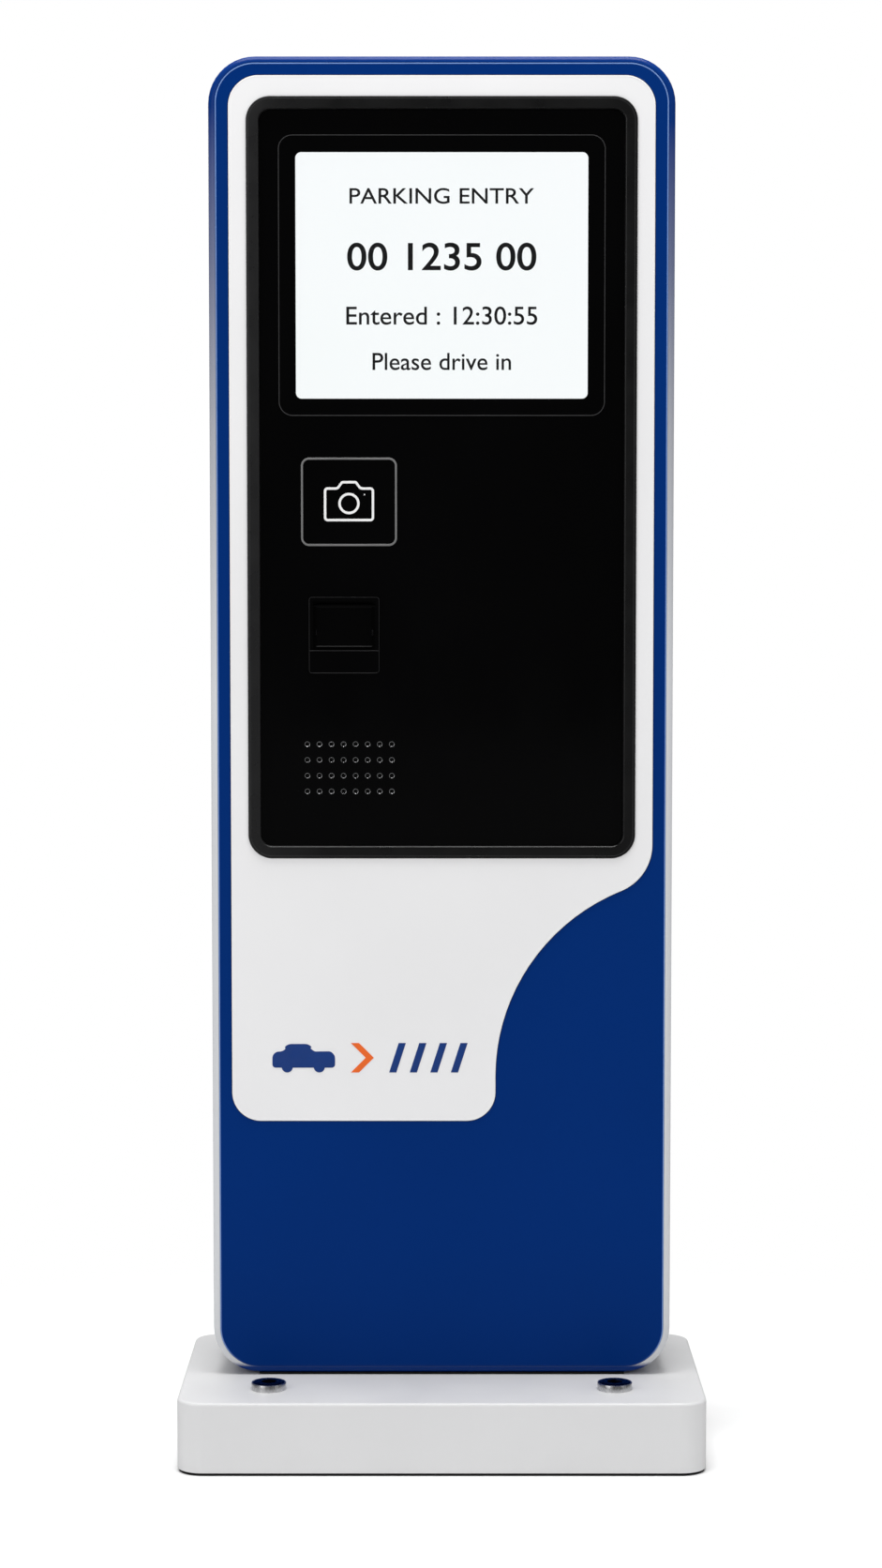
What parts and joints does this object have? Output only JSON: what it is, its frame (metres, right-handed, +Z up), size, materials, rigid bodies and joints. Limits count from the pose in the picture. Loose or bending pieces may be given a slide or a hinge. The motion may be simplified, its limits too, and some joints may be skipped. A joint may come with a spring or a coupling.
{
  "type": "parking pay station",
  "caption": "Slim floor-standing parking terminal: column on a bolted plinth, framed display, camera window, ticket mouth with flap, speaker grille and rear service door.",
  "frame": {"origin": "middle of the underside of the plinth's rubber ring, on the floor", "axes": "+Z up, the front with the display faces -Y, +X to the right of someone who stands in front of it"},
  "size_m": [0.542, 0.3, 1.445],
  "materials": {
    "white_powder_coat": "fine powder coat, satin",
    "silver_blue_coat": "silver grey lacquer that fades to blue at the top",
    "blue_lacquer": "deep blue gloss lacquer",
    "white_overlay": "smooth white sheet, satin",
    "black_satin": "satin black powder coat",
    "black_gloss": "polished black acrylic",
    "cover_glass": "clear cover glass",
    "screen": "lit screen, white",
    "smoked_window": "smoked acrylic",
    "grey_trim": "grey moulded trim",
    "black_plastic": "fine grained black plastic",
    "rubber": "matt black rubber",
    "zinc_steel": "zinc plated, satin",
    "stainless": "brushed stainless",
    "bolt_black": "dark oxide",
    "galvanised": "galvanised sheet",
    "board_green": "solder mask",
    "paper": "thermal paper",
    "aluminium": "cast, satin",
    "light_grey_plastic": "moulded housing",
    "mesh_black": "black speaker cloth"
  },
  "bodies": {
    "cabinet": {"floor_gasket": "rubber", "plinth_shell": "white_powder_coat", "anchor_sleeves": "galvanised", "anchor_cups": "stainless", "anchor_bolts": "bolt_black", "column_gasket": "rubber", "column_bolts": "zinc_steel", "column_nuts": "zinc_steel", "cable_grommet": "rubber", "column_front_frame": "silver_blue_coat", "column_sides": "silver_blue_coat", "column_corners": "silver_blue_coat", "column_top": "silver_blue_coat", "column_floor": "silver_blue_coat", "column_rear_frame": "silver_blue_coat", "front_panel": "blue_lacquer", "front_overlay": "white_overlay", "side_rails": "galvanised", "bezel_frame": "black_satin", "fascia_panel": "black_gloss", "display_rim": "black_plastic", "display_glass": "cover_glass", "lcd_panel": "screen", "display_tray": "galvanised", "sensor_lens": "smoked_window", "camera_surround": "grey_trim", "camera_window": "smoked_window", "camera_module": "black_plastic", "ticket_bezel": "black_plastic", "flap_pin": "stainless", "ticket_chute": "black_plastic", "speaker_mesh": "mesh_black", "speaker_driver": "black_plastic", "printer_shelf": "galvanised", "printer_frame": "galvanised", "feed_motor": "zinc_steel", "print_head": "aluminium", "roll_spindle": "aluminium", "lid_ears": "galvanised", "lid_hinge_pin": "stainless", "control_plate": "galvanised", "power_plate": "galvanised", "board_standoffs": "zinc_steel", "control_board": "board_green", "power_supply": "aluminium", "din_rail": "zinc_steel", "circuit_breaker": "light_grey_plastic", "terminal_block": "light_grey_plastic", "hinge_blocks": "stainless", "hinge_pins": "stainless"},
    "service_door": {"rear_door": "silver_blue_coat", "door_seal": "rubber", "hinge_leaves": "stainless", "lock_barrel": "zinc_steel", "fan_frame": "black_plastic"},
    "door_lock": {"lock_cam": "zinc_steel"},
    "fan": {"fan_rotor": "black_plastic"},
    "ticket_flap": {"ticket_flap": "black_gloss"},
    "paper": {"paper_roll": "paper"},
    "platen": {"platen_roller": "rubber", "platen_gear": "black_plastic"},
    "pinion": {"motor_pinion": "zinc_steel"},
    "cutter": {"cutter_blade": "stainless"},
    "lid": {"printer_lid": "black_plastic"},
    "toggle": {"breaker_toggle": "black_plastic"}
  },
  "joints": [
    {"name": "door_hinge", "type": "hinge", "parent": "cabinet", "child": "service_door", "pos_m": [-0.23, 0.139, 0.761], "axis": [0, 0, 1], "range_deg": [0, 110]},
    {"name": "lock_turn", "type": "hinge", "parent": "service_door", "child": "door_lock", "pos_m": [0.196, 0.141, 0.761], "axis": [0, -1, 0], "range_deg": [0, 90]},
    {"name": "fan_spin", "type": "hinge", "parent": "service_door", "child": "fan", "pos_m": [0.005, 0.121, 1.23], "axis": [0, 1, 0], "continuous": true},
    {"name": "flap_swing", "type": "hinge", "parent": "cabinet", "child": "ticket_flap", "pos_m": [-0.1013, -0.0232, 0.8828], "axis": [-1, 0, 0], "range_deg": [0, 45]},
    {"name": "paper_spin", "type": "hinge", "parent": "cabinet", "child": "paper", "pos_m": [-0.1013, 0.0588, 0.835], "axis": [1, 0, 0], "continuous": true},
    {"name": "platen_spin", "type": "hinge", "parent": "cabinet", "child": "platen", "pos_m": [-0.1013, 0.0118, 0.8464], "axis": [1, 0, 0], "continuous": true},
    {"name": "pinion_spin", "type": "hinge", "parent": "cabinet", "child": "pinion", "pos_m": [-0.1013, 0.0118, 0.82708], "axis": [1, 0, 0], "continuous": true},
    {"name": "cutter_slide", "type": "slide", "parent": "cabinet", "child": "cutter", "axis": [0, 0, 1], "range_m": [0, 0.006]},
    {"name": "lid_hinge", "type": "hinge", "parent": "cabinet", "child": "lid", "pos_m": [-0.1013, 0.0958, 0.8823], "axis": [-1, 0, 0], "range_deg": [0, 75]},
    {"name": "toggle_flip", "type": "hinge", "parent": "cabinet", "child": "toggle", "pos_m": [0.05, 0.0885, 0.56], "axis": [-1, 0, 0], "range_deg": [0, 40]}
  ],
  "couplings": [
    {"joint": "platen_spin", "follows": "paper_spin", "ratio": 4.125},
    {"joint": "pinion_spin", "follows": "paper_spin", "ratio": -12.375}
  ]
}
